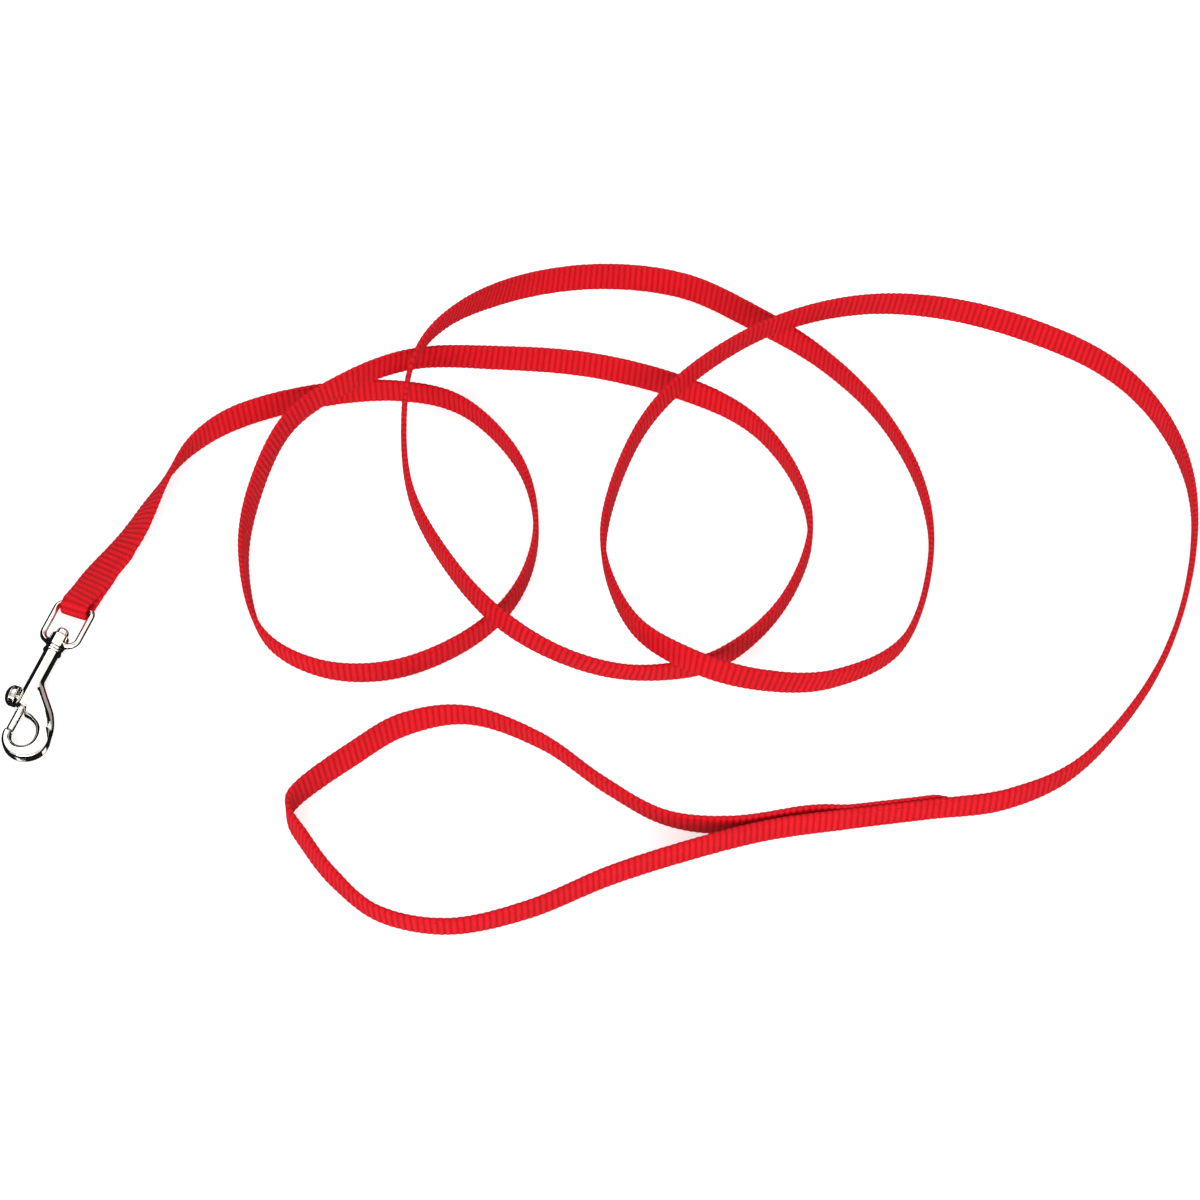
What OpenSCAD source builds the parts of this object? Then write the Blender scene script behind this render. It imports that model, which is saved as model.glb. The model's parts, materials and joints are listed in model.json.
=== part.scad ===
// Training leash: one narrow strap of flat woven webbing, folded and stitched into a hand loop at
// one end and round the eye of a swivel bolt snap at the other, laid out in loose loops.
// Millimetres. +Z is up and the leash lies on z = 0. The snap lies along Y with its hook towards
// -Y, and the origin is on the floor under the middle of the snap.

/* [Webbing] */
// Width of the webbing
webbing_w = 9.5; // [9:0.1:9.5]
// Thickness of the webbing
webbing_t = 1.6; // [1.2:0.1:1.6]
// Width of the webbing where it is bunched up inside the eye
fold_w = 8; // [7.6:0.1:8]
// Free space between two layers that are sewn together
layer_gap = 0.2; // [0.15:0.05:0.3]

/* [Swivel eye] */
// Diameter of the eye's wire
eye_wire_d = 1.9; // [1.6:0.1:1.9]
// Width inside the eye
eye_inner_w = 8.8; // [8.8:0.1:9.4]
// Distance from the barrel's end face to the bar that carries the webbing
bar_y = 15; // [14:0.5:16]
// Diameter of the round hub at the eye's foot
hub_d = 5.4; // [5:0.1:6]
// Length of the hub along the swivel's axis
hub_l = 4.2; // [3.6:0.1:4.4]

/* [Swivel rivet] */
// Diameter of the rivet's shank
rivet_d = 2.6; // [2:0.1:2.8]
// Diameter of the rivet's head, inside the eye
rivet_head_d = 3.6; // [3.4:0.1:4.2]
// Height of the rivet's head
rivet_head_h = 2.3; // [1.6:0.1:2.4]

/* [Hook body] */
// Outer diameter of the barrel
barrel_d = 4.5; // [4.4:0.1:4.8]
// Length of the barrel, from the swivel to its open mouth
barrel_l = 20.8; // [20:0.1:21]
// Diameter of the collar where the barrel meets the eye
collar_d = 5.5; // [5:0.1:5.8]
// Thickness of the hook
hook_t = 3.6; // [3:0.1:4]
// Radius of the hook's round seat
seat_r = 3.3; // [3.1:0.05:3.35]

/* [Bolt] */
// Diameter of the bolt
bolt_d = 2.2; // [2:0.1:2.2]
// Free space round the bolt in the barrel
bolt_clearance = 0.05; // [0.03:0.01:0.08]
// How far the thumb can draw the bolt back
bolt_travel = 7.2; // [6:0.1:7.2]
// Diameter of the thumb stud's disc
stud_d = 6.2; // [5.6:0.1:6.2]
// Wire diameter of the bolt's spring
spring_wire_d = 0.35; // [0.3:0.05:0.4]
// Turns in the bolt's spring
spring_turns = 9; // [7:1:10]

/* [Hidden] */
$fn = 48;

webbing_red = "#d81226";
thread_red = "#b30c1e";
nickel = "#c9cbcd";
steel = "#9a9da1";

// The snap's axis runs along Y at x = snap_x. Its own drawings start at the barrel's end face.
axis_h = stud_d / 2;
snap_x = -3.1;
snap_y = 10.2;
face_gap = 0.1;

// Places on the snap's own axes: middles of the round seat, of the wider hollow above it, of the
// belly and of the flank's large arc, where the flank turns straight, how far the hollow's edge
// stays off the bolt's axis, the thumb stud, and the ends of the hook's tip, the bolt and its bore.
seat_at = [4.4, -29.2];
hollow_at = [1.6, -29];
hollow_r = 6.1;
belly_at = [5.65, -29.5];
belly_r = 6.85;
flank_at = [-4.5, -29.5];
flank_r = 17;
flank_turn = 41;
flank_end = flank_at + flank_r * [cos(flank_turn), sin(flank_turn)];
bolt_side = 1.5;
stud_y = -18.2;
tip_y = -28.8;
bolt_rear_y = -15.4;
bore_end_y = -4.2;
rivet_press_l = 2.6;

// The webbing goes round the bar at this radius, measured to the middle of its thickness.
fold_clearance = 0.6;
fold_r = eye_wire_d / 2 + fold_clearance + webbing_t / 2;
fold_steps = 8;
layer_pitch = webbing_t + layer_gap;

// Route of the webbing: [x, y, height of its lower edge above the floor, lean to the left in
// degrees]. At a lean of 0 the webbing stands on its edge, and at -90 it lies flat.
snap_start = [snap_x, snap_y + bar_y, axis_h + fold_r - webbing_t / 2, -90];
lead_route = [
    [-0.6, 38, 3, -80], [2.4, 52, 2.5, -62], [3, 70, 1, -32], [5, 87, 0, -7], [14, 102, 0, 8],
    [33, 117, 0, 6], [55, 127, 0, -1], [76, 128, 0, -2], [98, 115, 0, -2]];
first_loop = [
    [111, 95, 0, 0], [114, 73, 0, 0], [107, 53, 0, 0], [91, 36, 0, 2], [71, 29, 0, 5],
    [51, 34, 0, 7], [36, 55, 0, 7], [30, 77, 2, 8], [31.4, 99.6, 7.5, 2], [42.7, 117.4, 10.5, -1],
    [58, 134, 8.6, -1], [80, 146, 4, 7]];
second_loop = [
    [106, 155, 1, 11], [134, 157, 0, 10], [158, 152, 0, 1], [177, 137, 0, -3], [187, 118, 0, -2],
    [186, 92, 0, 2], [175, 70, 0, 0], [156, 58, 0.5, 10], [136, 53, 5.5, 7], [115, 56, 10, -3],
    [95, 68, 10.5, -3], [76, 87, 8.5, -1], [65, 108, 11, -5], [61, 127, 18.5, -13],
    [65, 148, 16, -11], [77, 172, 6, 6]];
third_loop = [
    [97, 188, 1, 12], [121, 194, 0, 13], [145, 190, 0, 13], [170, 182, 0, 2], [193, 168, 0, -4],
    [212, 147, 0, -4], [222, 123, 0, -3], [222.8, 93.5, 0, 6], [208.6, 73.2, 3.5, 4], [190, 63, 8, -2],
    [170, 61, 10.5, -7], [150.5, 68.3, 8.5, -2], [134.5, 88.5, 5, 3], [129, 110, 5, 3],
    [130, 136, 7.5, 0], [139, 158, 10.5, -3]];
last_bend = [
    [155, 181, 10.5, -7], [176, 199, 8, -4], [200, 209, 5, 2], [227, 212, 2, 7], [253, 208, 0, 4],
    [274, 193, 0, 0], [288, 170, 0, -5], [294, 138, 0, -1], [292, 105, 0, 3], [281, 73, 0, 3],
    [265, 55, 0, -3]];
handle_front = [
    [245, 44, 0, -3], [226, 34, 0, -3], [206, 23, 0, -3], [188, 10, 0, -3], [170, -5, 0, -2],
    [153, -22, 0, 1], [135, -34, 0, 5], [116, -37, 0, 4], [100, -31, 0, -4], [88, -23, 0, -7],
    [81, -17, 0, -2]];
handle_back = [
    [81, -10, 0, 7], [90, 6, 0, 11], [100, 20, 0, 9], [116, 29, 0, -2], [138, 28, 0, -6],
    [159, 21, 0, -7], [178, 17, 0, -8], [196, 21, 0, -2]];

out_route = concat([snap_start], lead_route, first_loop, second_loop, third_loop, last_bend,
    handle_front);
// Where along out_route the two sewn stretches lie, counted in route points.
snap_sewn = [0.7, 1.9];
handle_first = len(out_route) - len(handle_front);
handle_sewn = [handle_first - 0.25, handle_first + 1];
rings_per_point = 2;

function unit(v) = v / norm(v);
function mix(a, b, f) = a + (b - a) * f;
function ease(f) = (1 - cos(180 * max(0, min(1, f)))) / 2;

// Smooth curve through the rows of a list, at place u counted in rows.
function row_at(list, i) =
    i < 0 ? 2 * list[0] - list[1]
    : i >= len(list) ? 2 * list[len(list) - 1] - list[len(list) - 2]
    : list[i];
function on_curve(list, u) =
    let (i = max(0, min(floor(u), len(list) - 2)),
        f = u - i,
        a = row_at(list, i - 1),
        b = row_at(list, i),
        c = row_at(list, i + 1),
        d = row_at(list, i + 2))
    (2 * b + (c - a) * f + (2 * a - 5 * b + 4 * c - d) * f * f
        + (3 * b - a - 3 * c + d) * f * f * f) / 2;

function middle(row) = [row[0], row[1],
    max(0, row[2]) + webbing_w / 2 * abs(cos(row[3])) + webbing_t / 2 * abs(sin(row[3]))];
function width_at(u) = mix(fold_w, webbing_w, ease(u));

// A station is [middle, direction across the width, direction out of the face, width].
function station(list, u) =
    let (row = on_curve(list, u),
        step = 0.02,
        ahead = unit(middle(on_curve(list, u + step)) - middle(on_curve(list, u - step))),
        left = unit([-ahead[1], ahead[0], 0]),
        up = cross(ahead, left),
        lean = row[3])
    [middle(row), cos(lean) * up + sin(lean) * left, cos(lean) * left - sin(lean) * up,
        width_at(u)];
// The same station moved out of the face to lie beside the webbing, facing the other way.
function beside(s, distance) = [s[0] - distance * s[2], s[1], -s[2], s[3]];
// A route row that lies beside the outward run, for the run that comes back along it.
function row_beside(u, distance) =
    let (row = on_curve(out_route, u),
        face = station(out_route, u)[2])
    [row[0] - distance * face[0], row[1] - distance * face[1], row[2] - distance * face[2],
        -row[3]];

// The hand loop's end closes in on the outward run and then lies beside it.
closing_distance = 2.6;
tail_rows = [
    row_beside(handle_sewn[1] + 0.5, closing_distance),
    row_beside(handle_sewn[1], layer_pitch),
    row_beside(handle_sewn[1] - 0.5, layer_pitch)];
route = concat(out_route, handle_back, tail_rows);
route_end = len(route) - 2;

// Layer distance near the bar: wide enough for the bar, then closed up where it is sewn.
function fold_distance(u) = mix(2 * fold_r, layer_pitch, ease(u / snap_sewn[0]));

snap_tail = [for (k = [4 : -1 : 1])
    let (u = snap_sewn[1] * k / 4)
    beside(station(route, u), fold_distance(u))];
fold = [for (k = [0 : fold_steps])
    let (turn = -90 + 180 * k / fold_steps)
    [[snap_x, snap_y + bar_y - fold_r * cos(turn), axis_h + fold_r * sin(turn)],
        [1, 0, 0], [0, -cos(turn), sin(turn)], fold_w]];
run = [for (k = [1 : route_end * rings_per_point]) station(route, k / rings_per_point)];
handle_tail = [for (k = [1 : 3])
    beside(station(route, mix(handle_sewn[1], handle_sewn[0], k / 3)), layer_pitch)];
stations = concat(snap_tail, fold, run, handle_tail);

// Sweeps a flat rectangular section along a list of stations.
module ribbon(list) {
    corners = [[-1, -1], [1, -1], [1, 1], [-1, 1]];
    n = len(corners);
    last = len(list) - 1;
    points = [for (s = list) for (c = corners)
        s[0] + c[0] * s[3] / 2 * s[1] + c[1] * webbing_t / 2 * s[2]];
    sides = [for (i = [0 : last - 1]) for (j = [0 : n - 1])
        let (a = i * n + j, b = i * n + (j + 1) % n)
        each [[a, b, b + n], [a, b + n, a + n]]];
    ends = [[for (j = [n - 1 : -1 : 0]) j], [for (j = [0 : n - 1]) last * n + j]];
    polyhedron(points = points, faces = concat(sides, ends), convexity = 20);
}

// One row of thread stitches through both layers: list of places u on the route, and how far
// across the width the row lies.
module stitch_row(places, across) {
    stitch_l = 1.9;
    thread_d = 0.5;
    stand_out = 0.2;
    depth = 2 * webbing_t + layer_gap + 2 * stand_out;
    for (u = places) {
        s = station(route, u);
        ahead = cross(s[2], s[1]);
        at = s[0] + across * s[1] - layer_pitch / 2 * s[2];
        multmatrix([
            [ahead[0], s[2][0], s[1][0], at[0]],
            [ahead[1], s[2][1], s[1][1], at[1]],
            [ahead[2], s[2][2], s[1][2], at[2]]])
            cube([stitch_l, depth, thread_d], center = true);
    }
}

module webbing() {
    color(webbing_red) ribbon(stations);
}

module handle_stitching() {
    stitches = 8;
    margins = [0.1, -0.06];
    row_side = 3.1;
    ends = handle_sewn + margins;
    places = [for (k = [0 : stitches - 1]) mix(ends[0], ends[1], k / (stitches - 1))];
    color(thread_red) for (side = [-1, 1]) stitch_row(places, side * row_side);
}

module snap_stitching() {
    stitches = 5;
    margins = [0.2, -0.15];
    row_side = 3;
    ends = snap_sewn + margins;
    places = [for (k = [0 : stitches - 1]) mix(ends[0], ends[1], k / (stitches - 1))];
    color(thread_red) for (side = [-1, 1]) stitch_row(places, side * row_side);
}

// Moves a drawing on the snap's own axes to its place. Y is the snap's axis there.
module on_snap() {
    translate([snap_x, snap_y, axis_h]) children();
}

// Cylinder along Y, from y0 to y1.
module y_rod(d, y0, y1) {
    translate([0, y0, 0]) rotate([-90, 0, 0]) cylinder(d = d, h = y1 - y0);
}

// Quarter bend of the eye's wire in the XY plane, on the +X side.
module wire_bend(x, y, r, from) {
    translate([x, y, 0]) rotate([0, 0, from])
        rotate_extrude(angle = 90) translate([r, 0]) circle(d = eye_wire_d);
}

module swivel_eye() {
    leg_x = (eye_inner_w + eye_wire_d) / 2;
    corner_r = 2;
    foot_r = 3;
    foot_low_y = 1.7;
    foot_y = foot_low_y + foot_r;
    bore_d = rivet_d + 2 * bolt_clearance;
    color(nickel) on_snap() difference() {
        union() {
            translate([-(leg_x - corner_r), bar_y, 0]) rotate([0, 90, 0])
                cylinder(d = eye_wire_d, h = 2 * (leg_x - corner_r));
            for (side = [0, 1]) mirror([side, 0, 0]) {
                wire_bend(leg_x - corner_r, bar_y - corner_r, corner_r, 0);
                translate([leg_x, 0, 0]) y_rod(eye_wire_d, foot_y, bar_y - corner_r);
                wire_bend(leg_x - foot_r, foot_y, foot_r, -90);
            }
            y_rod(hub_d, face_gap, face_gap + hub_l);
        }
        y_rod(bore_d, -1, hub_l + 2);
    }
}

module swivel_rivet() {
    head_y = 2 * face_gap + hub_l;
    color(nickel) on_snap() {
        y_rod(rivet_d, -rivet_press_l, head_y);
        translate([0, head_y, 0]) rotate([-90, 0, 0]) rotate_extrude()
            polygon([[0, 0], [rivet_head_d / 2, 0], [rivet_head_d / 2, rivet_head_h * 0.45],
                [rivet_head_d * 0.4, rivet_head_h * 0.8], [rivet_head_d * 0.2, rivet_head_h],
                [0, rivet_head_h]]);
    }
}

// Flat outline of the hook: a round belly and a long curved flank that runs up to a shoulder on
// the barrel, round a hollow whose lower part is the seat. The tip ends square under the bolt.
module hook_outline() {
    difference() {
        union() {
            translate(belly_at) circle(r = belly_r);
            intersection() {
                translate(flank_at) circle(r = flank_r);
                polygon([[0, belly_at[1]], [belly_at[0] + belly_r, belly_at[1]],
                    [belly_at[0] + belly_r, flank_end[1]], flank_end, [0, flank_end[1]]]);
            }
            polygon([[0, flank_end[1]], flank_end, [5.2, -14.85], [3.4, -12.7], [2.5, -11.7],
                [2, -11.4], [0, -11.4]]);
        }
        translate(seat_at) circle(r = seat_r);
        intersection() {
            translate(hollow_at) circle(r = hollow_r);
            translate([bolt_side, seat_at[1]]) square(2 * hollow_r);
        }
        translate([bolt_side - 20, tip_y]) square([20, 20]);
    }
}

module hook_body() {
    bore_d = bolt_d + 2 * bolt_clearance;
    slot_w = 2;
    collar_l = 1.6;
    color(nickel) on_snap() difference() {
        union() {
            y_rod(barrel_d, -barrel_l, 0);
            y_rod(collar_d, -collar_l, 0);
            translate([0, -collar_l, 0]) rotate([90, 0, 0])
                cylinder(d1 = collar_d, d2 = barrel_d, h = (collar_d - barrel_d) / 2);
            translate([0, 0, -hook_t / 2]) linear_extrude(hook_t) hook_outline();
        }
        y_rod(bore_d, -barrel_l - 10, bore_end_y);
        y_rod(rivet_d, -rivet_press_l, 1);
        translate([-barrel_d, stud_y - slot_w / 2, -slot_w / 2])
            cube([barrel_d, bolt_travel + slot_w, slot_w]);
    }
}

module bolt() {
    color(steel) on_snap() y_rod(bolt_d, tip_y + 0.1, bolt_rear_y);
}

module thumb_stud() {
    neck_d = 1.7;
    neck_start = 0.5;
    neck_end = 2.55;
    disc_t = 3.45;
    groove = 0.45;
    groove_at = [1.5, 2.2];
    groove_side = 0.2;
    rim_end = 2.9;
    face_inset = 0.6;
    face_r = stud_d / 2 - face_inset;
    color(nickel) on_snap() translate([0, stud_y, 0]) rotate([0, -90, 0]) {
        translate([0, 0, neck_start]) cylinder(d = neck_d, h = neck_end - neck_start);
        translate([0, 0, neck_end]) rotate_extrude()
            polygon([[0, 0], [stud_d / 2, 0], [stud_d / 2, groove_at[0]],
                [stud_d / 2 - groove, groove_at[0] + groove_side],
                [stud_d / 2 - groove, groove_at[1] - groove_side],
                [stud_d / 2, groove_at[1]], [stud_d / 2, rim_end], [face_r, disc_t],
                [0, disc_t]]);
    }
}

module bolt_spring() {
    coil_r = (bolt_d - spring_wire_d) / 2 - 0.05;
    y0 = bolt_rear_y + 0.05;
    length = bore_end_y - 0.05 - y0;
    steps = 10;
    total = spring_turns * steps;
    sides = 6;
    pitch = (length - spring_wire_d) / spring_turns;
    points = [for (i = [0 : total]) for (j = [0 : sides - 1])
        let (turn = 360 * i / steps,
            around = 360 * j / sides,
            r = coil_r + spring_wire_d / 2 * cos(around))
        [r * cos(turn), y0 + spring_wire_d / 2 + pitch * i / steps
            + spring_wire_d / 2 * sin(around), r * sin(turn)]];
    skin = [for (i = [0 : total - 1]) for (j = [0 : sides - 1])
        let (a = i * sides + j, b = i * sides + (j + 1) % sides)
        each [[a, b + sides, b], [a, a + sides, b + sides]]];
    ends = [[for (j = [0 : sides - 1]) j], [for (j = [sides - 1 : -1 : 0]) total * sides + j]];
    color(steel) on_snap()
        polyhedron(points = points, faces = concat(skin, ends), convexity = 20);
}

webbing();
handle_stitching();
snap_stitching();
swivel_eye();
swivel_rivet();
hook_body();
bolt();
thumb_stud();
bolt_spring();
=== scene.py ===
"""Looks of the training leash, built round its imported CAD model. Metres, in the CAD's own frame."""

import json
import math

import bpy
import numpy as np
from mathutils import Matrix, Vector


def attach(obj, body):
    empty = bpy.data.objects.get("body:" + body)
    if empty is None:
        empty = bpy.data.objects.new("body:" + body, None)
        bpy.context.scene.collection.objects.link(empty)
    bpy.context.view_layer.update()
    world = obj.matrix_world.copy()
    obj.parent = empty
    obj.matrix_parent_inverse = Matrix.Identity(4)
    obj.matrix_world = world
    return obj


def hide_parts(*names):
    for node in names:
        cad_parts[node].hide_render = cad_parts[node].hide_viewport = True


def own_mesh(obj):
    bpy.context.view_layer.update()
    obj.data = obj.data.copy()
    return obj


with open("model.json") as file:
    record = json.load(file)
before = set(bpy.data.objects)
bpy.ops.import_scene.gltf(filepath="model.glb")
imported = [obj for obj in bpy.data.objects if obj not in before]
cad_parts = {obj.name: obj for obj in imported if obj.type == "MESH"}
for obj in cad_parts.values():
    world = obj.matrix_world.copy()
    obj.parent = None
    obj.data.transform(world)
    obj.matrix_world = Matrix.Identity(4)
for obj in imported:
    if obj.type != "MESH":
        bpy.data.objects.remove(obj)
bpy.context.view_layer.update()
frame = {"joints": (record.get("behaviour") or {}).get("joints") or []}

MM = 0.001
BAR = np.array(next(j for j in frame["joints"] if j["name"] == "eye_tilt")["pos_m"])
SWIVEL = np.array(next(j for j in frame["joints"] if j["name"] == "hook_swivel")["pos_m"])

# ---------------------------------------------------------------------------------- camera

# The photograph's camera looks down at 57 degrees, turned 20 degrees to the left of the snap.
CAMERA_AT = (0.2996, -0.3688, 0.7361)
CAMERA_AIM = (0.1361, 0.0804, 0.0)
LENS_MM = 91.5


def make_camera():
    data = bpy.data.cameras.new("camera")
    data.lens = LENS_MM
    data.sensor_width = 36
    data.clip_start = 0.05
    data.clip_end = 20
    camera = bpy.data.objects.new("camera", data)
    bpy.context.scene.collection.objects.link(camera)
    camera.location = CAMERA_AT
    aim = Vector(CAMERA_AIM) - camera.location
    camera.rotation_euler = aim.to_track_quat("-Z", "Y").to_euler()
    bpy.context.scene.camera = camera


make_camera()

# ---------------------------------------------------------------------------------- the strap

WIDTH = 9.5 * MM
THICK = 1.6 * MM
# The strap narrows where it folds round the eye's wire, and clears it by the gap.
FOLD_WIDTH = 8.0 * MM
WIRE = 1.9 * MM
WIRE_GAP = 0.6 * MM
FOLD_R = WIRE / 2 + WIRE_GAP + THICK / 2
# Spacing of the two sewn layers' middles, at the snap and at the hand loop, and the share of its
# thickness that the strap keeps in the hand loop's seam.
SNAP_PITCH = 1.68 * MM
HANDLE_PITCH = 1.3 * MM
PRESSED = 0.79
# How far the snap tail drifts to one side, from this place of the route and over this stretch.
TAIL_SHIFT = 1.1 * MM
SHIFT_FROM, SHIFT_OVER = 0.5, 0.7
# Spacing of the cross ribs.
RIB = 1.75 * MM

# The route of the CAD model: [x, y, rise of the lower edge, lean to the left in degrees], with
# lengths in millimetres. It starts at the snap's bar. A place on the route counts its rows.
LEAD = [
    [-0.6, 38, 3, -80], [2.4, 52, 2.5, -62], [3, 70, 1, -32], [5, 87, 0, -7], [14, 102, 0, 8],
    [33, 117, 0, 6], [55, 127, 0, -1], [76, 128, 0, -2], [98, 115, 0, -2]]
FIRST_LOOP = [
    [111, 95, 0, 0], [114, 73, 0, 0], [107, 53, 0, 0], [91, 36, 0, 2], [71, 29, 0, 5],
    [51, 34, 0, 7], [36, 55, 0, 7], [30, 77, 2, 8], [31.4, 99.6, 7.5, 2], [42.7, 117.4, 10.5, -1],
    [58, 134, 8.6, -1], [80, 146, 4, 7]]
SECOND_LOOP = [
    [106, 155, 1, 11], [134, 157, 0, 10], [158, 152, 0, 1], [177, 137, 0, -3], [187, 118, 0, -2],
    [186, 92, 0, 2], [175, 70, 0, 0], [156, 58, 0.5, 10], [136, 53, 5.5, 7], [115, 56, 10, -3],
    [95, 68, 10.5, -3], [76, 87, 8.5, -1], [65, 108, 11, -5], [61, 127, 18.5, -13],
    [65, 148, 16, -11], [77, 172, 6, 6]]
THIRD_LOOP = [
    [97, 188, 1, 12], [121, 194, 0, 13], [145, 190, 0, 13], [170, 182, 0, 2], [193, 168, 0, -4],
    [212, 147, 0, -4], [222, 123, 0, -3], [222.8, 93.5, 0, 6], [208.6, 73.2, 3.5, 4],
    [190, 63, 8, -2], [170, 61, 10.5, -7], [150.5, 68.3, 8.5, -2], [134.5, 88.5, 5, 3],
    [129, 110, 5, 3], [130, 136, 7.5, 0], [139, 158, 10.5, -3]]
LAST_BEND = [
    [155, 181, 10.5, -7], [176, 199, 8, -4], [200, 209, 5, 2], [227, 212, 2, 7], [253, 208, 0, 4],
    [274, 193, 0, 0], [288, 170, 0, -5], [294, 138, 0, -1], [292, 105, 0, 3], [281, 73, 0, 3],
    [265, 55, 0, -3]]
HANDLE_FRONT = [
    [245, 44, 0, -3], [226, 34, 0, -3], [206, 23, 0, -3], [188, 10, 0, -3], [170, -5, 0, -2],
    [153, -22, 0, 1], [135, -34, 0, 5], [116, -37, 0, 4], [100, -31, 0, -4], [88, -23, 0, -7],
    [81, -17, 0, -2]]
HANDLE_BACK = [
    [81, -10, 0, 7], [90, 6, 0, 11], [100, 20, 0, 9], [116, 29, 0, -2], [138, 28, 0, -6],
    [159, 21, 0, -7], [178, 17, 0, -8], [196, 21, 0, -2]]


def unit(v):
    return v / np.linalg.norm(v)


def mix(a, b, f):
    return a + (b - a) * f


def ease(f):
    """From nought to one with a soft start and end."""
    return (1 - math.cos(math.pi * min(1, max(0, f)))) / 2


def in_metres(rows):
    return [np.array([r[0] * MM, r[1] * MM, r[2] * MM, math.radians(r[3])]) for r in rows]


snap_start = np.array([BAR[0], BAR[1], BAR[2] + FOLD_R - THICK / 2, math.radians(-90)])
out_route = [snap_start] + in_metres(
    LEAD + FIRST_LOOP + SECOND_LOOP + THIRD_LOOP + LAST_BEND + HANDLE_FRONT
)
# Where on the route each sewn stretch begins and ends.
SNAP_SEWN = (0.7, 1.9)
HANDLE_FIRST = len(out_route) - len(HANDLE_FRONT)
HANDLE_SEWN = (HANDLE_FIRST - 0.25, HANDLE_FIRST + 1)
# How far the loop's end still stands off the run, half a row before it is sewn to it.
CLOSING = 2.6 * MM
# Stations along the snap tail, round the fold, for each row of the run and along the loop's tail.
TAIL_STEPS, FOLD_STEPS, ROW_STEPS, LOOP_TAIL_STEPS = 60, 40, 24, 40


def row_at(rows, i):
    """Row i, carried straight on past both ends."""
    if i < 0:
        return 2 * rows[0] - rows[1]
    if i >= len(rows):
        return 2 * rows[-1] - rows[-2]
    return rows[i]


def on_curve(rows, u):
    """The route at place u, on a smooth curve through its rows."""
    i = max(0, min(math.floor(u), len(rows) - 2))
    f = u - i
    a, b, c, d = (row_at(rows, i + k) for k in (-1, 0, 1, 2))
    return (
        2 * b + (c - a) * f + (2 * a - 5 * b + 4 * c - d) * f**2 + (3 * b - a - 3 * c + d) * f**3
    ) / 2


def middle(row):
    """The strap's middle, from the rise of its lower edge and its lean."""
    lift = WIDTH / 2 * abs(math.cos(row[3])) + THICK / 2 * abs(math.sin(row[3]))
    return np.array([row[0], row[1], max(0, row[2]) + lift])


def station(rows, u):
    """Place on the strap: middle, direction across, direction out of the face, width."""
    row, step = on_curve(rows, u), 0.02
    ahead = unit(middle(on_curve(rows, u + step)) - middle(on_curve(rows, u - step)))
    left = unit(np.array([-ahead[1], ahead[0], 0]))
    up = np.cross(ahead, left)
    c, s = math.cos(row[3]), math.sin(row[3])
    return [middle(row), c * up + s * left, c * left - s * up, mix(FOLD_WIDTH, WIDTH, ease(u))]


def beside(s, distance):
    """The station on a layer that lies face to face with this one."""
    return [s[0] - distance * s[2], s[1], -s[2], s[3]]


def row_beside(u, distance):
    """A row of the route that lies beside place u, and comes back the other way."""
    row, face = on_curve(out_route, u), station(out_route, u)[2]
    return np.array([*(row[:3] - distance * face), -row[3]])


route = out_route + in_metres(HANDLE_BACK) + [
    row_beside(HANDLE_SEWN[1] + 0.5, CLOSING),
    row_beside(HANDLE_SEWN[1], HANDLE_PITCH),
    row_beside(HANDLE_SEWN[1] - 0.5, HANDLE_PITCH),
]
ROUTE_END = len(route) - 2


def fold_distance(u):
    """How far apart the two layers' middles are on the way from the fold to the stitches."""
    return mix(2 * FOLD_R, SNAP_PITCH, ease(u / SNAP_SEWN[0]))


def strap_stations():
    """Stations close together along the whole strap, from the snap tail's end to the loop's."""
    made = []
    for k in range(TAIL_STEPS, 0, -1):
        u = SNAP_SEWN[1] * k / TAIL_STEPS
        under = beside(station(route, u), fold_distance(u))
        under[0] = under[0] - TAIL_SHIFT * ease((u - SHIFT_FROM) / SHIFT_OVER) * under[1]
        made.append(under)
    for k in range(FOLD_STEPS + 1):
        turn = math.radians(-90 + 180 * k / FOLD_STEPS)
        out = np.array([0, -math.cos(turn), math.sin(turn)])
        made.append([BAR + FOLD_R * out, np.array([1.0, 0, 0]), out, FOLD_WIDTH])
    for k in range(1, ROUTE_END * ROW_STEPS + 1):
        made.append(station(route, k / ROW_STEPS))
    for k in range(1, LOOP_TAIL_STEPS + 1):
        u = mix(HANDLE_SEWN[1], HANDLE_SEWN[0], k / LOOP_TAIL_STEPS)
        made.append(beside(station(route, u), HANDLE_PITCH))
    return made


class Strap:
    """The strap by distance along it, in metres."""

    def __init__(self):
        st = strap_stations()
        self.at = np.array([s[0] for s in st])
        self.across = np.array([s[1] for s in st])
        self.out = np.array([s[2] for s in st])
        self.width = np.array([s[3] for s in st])
        steps = np.linalg.norm(np.diff(self.at, axis=0), axis=1)
        self.s = np.concatenate([[0], np.cumsum(steps)])
        self.length = self.s[-1]

    def sample(self, s):
        """Middle, direction across, direction out of the face and width at those distances."""
        def lerp(values):
            return np.stack([np.interp(s, self.s, values[:, k]) for k in range(3)], 1)

        at, across, out = lerp(self.at), lerp(self.across), lerp(self.out)
        ahead = np.gradient(at, axis=0)
        ahead /= np.linalg.norm(ahead, axis=1)[:, None]
        across -= (across * ahead).sum(1)[:, None] * ahead
        across /= np.linalg.norm(across, axis=1)[:, None]
        face = np.cross(ahead, across)
        face *= np.sign((face * out).sum(1))[:, None]
        return at, across, face, np.interp(s, self.s, self.width)


strap = Strap()


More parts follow.
